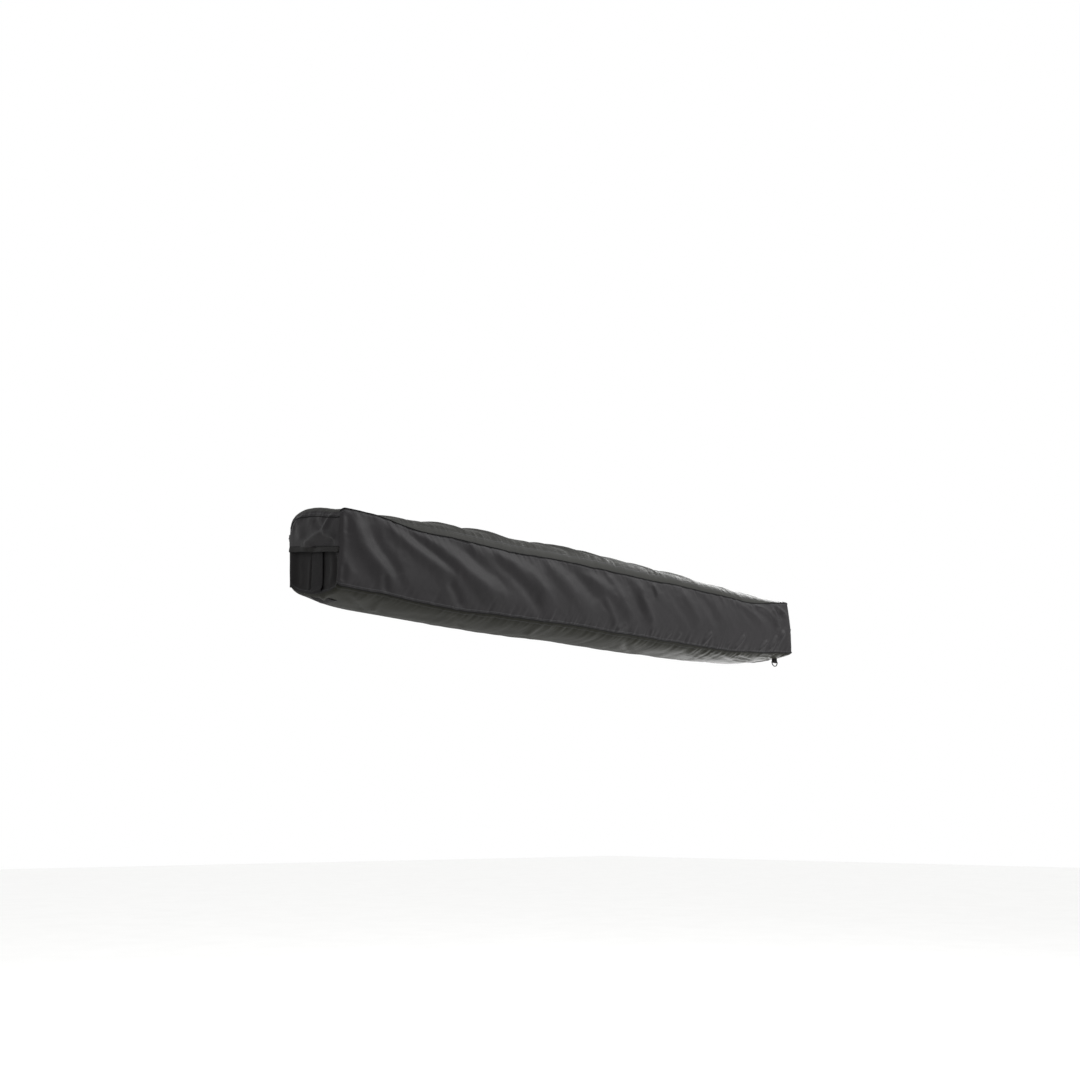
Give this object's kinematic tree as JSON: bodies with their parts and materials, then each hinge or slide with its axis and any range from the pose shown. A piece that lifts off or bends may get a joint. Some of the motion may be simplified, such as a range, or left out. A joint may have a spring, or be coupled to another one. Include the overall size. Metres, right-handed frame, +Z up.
{
  "type": "awning",
  "caption": "Swing-out fan awning for a vehicle roof rack, stowed in its zipped fabric travel cover, with hinged arms, folded canopy and telescoping legs.",
  "frame": {"origin": "centre of the four slotted holes, on the underside of the two roof-rack brackets", "axes": "+X along the cover away from the pivot, -Y outwards from the vehicle, +Z up"},
  "size_m": [2.1024, 0.3719, 0.3031],
  "materials": {
    "beam_alloy": "satin anodised extrusion",
    "arm_alloy": "satin anodised extrusion",
    "black_steel": "black powder coat",
    "zinc_steel": "zinc-plated steel",
    "pivot_steel": "ground stainless steel",
    "black_nylon": "moulded glass-filled nylon",
    "cover_cloth": "black PVC-coated polyester",
    "webbing": "woven black polypropylene webbing",
    "canopy_cloth": "grey ripstop canvas",
    "zip_tape": "woven zip tape with nylon coils",
    "zip_metal": "black enamelled zinc",
    "foot_rubber": "moulded black rubber"
  },
  "bodies": {
    "base": {"base_beam": "beam_alloy", "beam_end_caps": "black_nylon", "bracket_left": "black_steel", "bracket_right": "black_steel", "bracket_bolts": "zinc_steel", "slot_nuts": "zinc_steel", "head_plate_top": "black_steel", "head_plate_bottom": "black_steel", "head_bolts": "zinc_steel", "pivot_post": "pivot_steel", "post_nut": "zinc_steel", "post_washers": "black_nylon", "back_strip_top": "cover_cloth", "back_strip_bottom": "cover_cloth", "zip_tape_fixed": "zip_tape"},
    "cover": {"zip_tape_cover": "zip_tape", "cover_top_panel": "cover_cloth", "cover_front_panel": "cover_cloth", "cover_bottom_panel": "cover_cloth", "cover_back_ends": "cover_cloth", "end_flaps": "cover_cloth", "end_panels": "cover_cloth", "flap_hems": "cover_cloth", "end_straps": "webbing", "ring_tab": "webbing"},
    "zip_slider": {"zip_slider": "zip_metal"},
    "zip_pull": {"zip_pull": "zip_metal"},
    "d_ring": {"d_ring": "zip_metal"},
    "arm_1": {"arm_channel_1": "arm_alloy", "arm_knuckle_1": "black_steel", "arm_tip_1": "black_nylon", "canopy_gore_1": "canopy_cloth"},
    "leg_1": {"leg_outer_1": "arm_alloy"},
    "collar_1": {"leg_collar_1": "black_nylon"},
    "inner_1": {"leg_inner_1": "arm_alloy", "leg_foot_1": "foot_rubber"},
    "arm_2": {"arm_channel_2": "arm_alloy", "arm_knuckle_2": "black_steel", "arm_tip_2": "black_nylon", "canopy_gore_2": "canopy_cloth"},
    "leg_2": {"leg_outer_2": "arm_alloy"},
    "collar_2": {"leg_collar_2": "black_nylon"},
    "inner_2": {"leg_inner_2": "arm_alloy", "leg_foot_2": "foot_rubber"},
    "arm_3": {"arm_channel_3": "arm_alloy", "arm_knuckle_3": "black_steel", "arm_tip_3": "black_nylon", "canopy_gore_3": "canopy_cloth"},
    "leg_3": {"leg_outer_3": "arm_alloy"},
    "collar_3": {"leg_collar_3": "black_nylon"},
    "inner_3": {"leg_inner_3": "arm_alloy", "leg_foot_3": "foot_rubber"},
    "arm_4": {"arm_channel_4": "arm_alloy", "arm_knuckle_4": "black_steel", "arm_tip_4": "black_nylon", "canopy_gore_4": "canopy_cloth"},
    "leg_4": {"leg_outer_4": "arm_alloy"},
    "collar_4": {"leg_collar_4": "black_nylon"},
    "inner_4": {"leg_inner_4": "arm_alloy", "leg_foot_4": "foot_rubber"}
  },
  "joints": [
    {"name": "arm_1_swing", "type": "hinge", "parent": "base", "child": "arm_1", "pos_m": [-1, -0.187, -0.024], "axis": [0, 0, -1], "range_deg": [0, 67.5], "deforming": ["canopy_gore_1"]},
    {"name": "leg_1_fold", "type": "hinge", "parent": "arm_1", "child": "leg_1", "pos_m": [0.995, -0.112, -0.028], "axis": [0, -1, 0], "range_deg": [0, 90]},
    {"name": "collar_1_twist", "type": "hinge", "parent": "leg_1", "child": "collar_1", "pos_m": [-0.185, -0.112, -0.028], "axis": [1, 0, 0], "range_deg": [0, 90]},
    {"name": "leg_1_extend", "type": "slide", "parent": "leg_1", "child": "inner_1", "axis": [-1, 0, 0], "range_m": [0, 0.56]},
    {"name": "arm_2_swing", "type": "hinge", "parent": "arm_1", "child": "arm_2", "pos_m": [-1, -0.187, -0.024], "axis": [0, 0, -1], "range_deg": [0, 67.5], "deforming": ["canopy_gore_2"]},
    {"name": "leg_2_fold", "type": "hinge", "parent": "arm_2", "child": "leg_2", "pos_m": [0.995, -0.162, -0.028], "axis": [0, -1, 0], "range_deg": [0, 90]},
    {"name": "collar_2_twist", "type": "hinge", "parent": "leg_2", "child": "collar_2", "pos_m": [-0.185, -0.162, -0.028], "axis": [1, 0, 0], "range_deg": [0, 90]},
    {"name": "leg_2_extend", "type": "slide", "parent": "leg_2", "child": "inner_2", "axis": [-1, 0, 0], "range_m": [0, 0.56]},
    {"name": "arm_3_swing", "type": "hinge", "parent": "arm_2", "child": "arm_3", "pos_m": [-1, -0.187, -0.024], "axis": [0, 0, -1], "range_deg": [0, 67.5], "deforming": ["canopy_gore_3"]},
    {"name": "leg_3_fold", "type": "hinge", "parent": "arm_3", "child": "leg_3", "pos_m": [0.995, -0.212, -0.028], "axis": [0, -1, 0], "range_deg": [0, 90]},
    {"name": "collar_3_twist", "type": "hinge", "parent": "leg_3", "child": "collar_3", "pos_m": [-0.185, -0.212, -0.028], "axis": [1, 0, 0], "range_deg": [0, 90]},
    {"name": "leg_3_extend", "type": "slide", "parent": "leg_3", "child": "inner_3", "axis": [-1, 0, 0], "range_m": [0, 0.56]},
    {"name": "arm_4_swing", "type": "hinge", "parent": "arm_3", "child": "arm_4", "pos_m": [-1, -0.187, -0.024], "axis": [0, 0, -1], "range_deg": [0, 67.5], "deforming": ["canopy_gore_4"]},
    {"name": "leg_4_fold", "type": "hinge", "parent": "arm_4", "child": "leg_4", "pos_m": [0.995, -0.262, -0.028], "axis": [0, -1, 0], "range_deg": [0, 90]},
    {"name": "collar_4_twist", "type": "hinge", "parent": "leg_4", "child": "collar_4", "pos_m": [-0.185, -0.262, -0.028], "axis": [1, 0, 0], "range_deg": [0, 90]},
    {"name": "leg_4_extend", "type": "slide", "parent": "leg_4", "child": "inner_4", "axis": [-1, 0, 0], "range_m": [0, 0.56]},
    {"name": "cover_open", "type": "hinge", "parent": "base", "child": "cover", "pos_m": [0, -0.051, -0.1265], "axis": [1, 0, 0], "range_deg": [0, 90], "deforming": ["zip_tape_cover", "cover_top_panel", "cover_front_panel", "cover_bottom_panel", "cover_back_ends", "end_flaps", "end_panels", "flap_hems", "end_straps", "ring_tab"]},
    {"name": "zip_slide", "type": "slide", "parent": "base", "child": "zip_slider", "axis": [-1, 0, 0], "range_m": [0, 2.01]},
    {"name": "zip_pull_swing", "type": "hinge", "parent": "zip_slider", "child": "zip_pull", "pos_m": [1.005, -0.0422, 0.0685], "axis": [1, 0, 0], "range_deg": [0, 100]},
    {"name": "ring_swing", "type": "hinge", "parent": "cover", "child": "d_ring", "pos_m": [1.012, -0.267, -0.1457], "axis": [1, 0, 0], "range_deg": [-70, 70]}
  ],
  "couplings": [
    {"joint": "leg_1_fold", "follows": "arm_1_swing", "ratio": 1.3333},
    {"joint": "arm_2_swing", "follows": "arm_1_swing", "ratio": 1},
    {"joint": "leg_2_fold", "follows": "arm_1_swing", "ratio": 1.3333},
    {"joint": "arm_3_swing", "follows": "arm_1_swing", "ratio": 1},
    {"joint": "leg_3_fold", "follows": "arm_1_swing", "ratio": 1.3333},
    {"joint": "arm_4_swing", "follows": "arm_1_swing", "ratio": 1},
    {"joint": "leg_4_fold", "follows": "arm_1_swing", "ratio": 1.3333},
    {"joint": "cover_open", "follows": "arm_1_swing", "ratio": 1.3333}
  ]
}
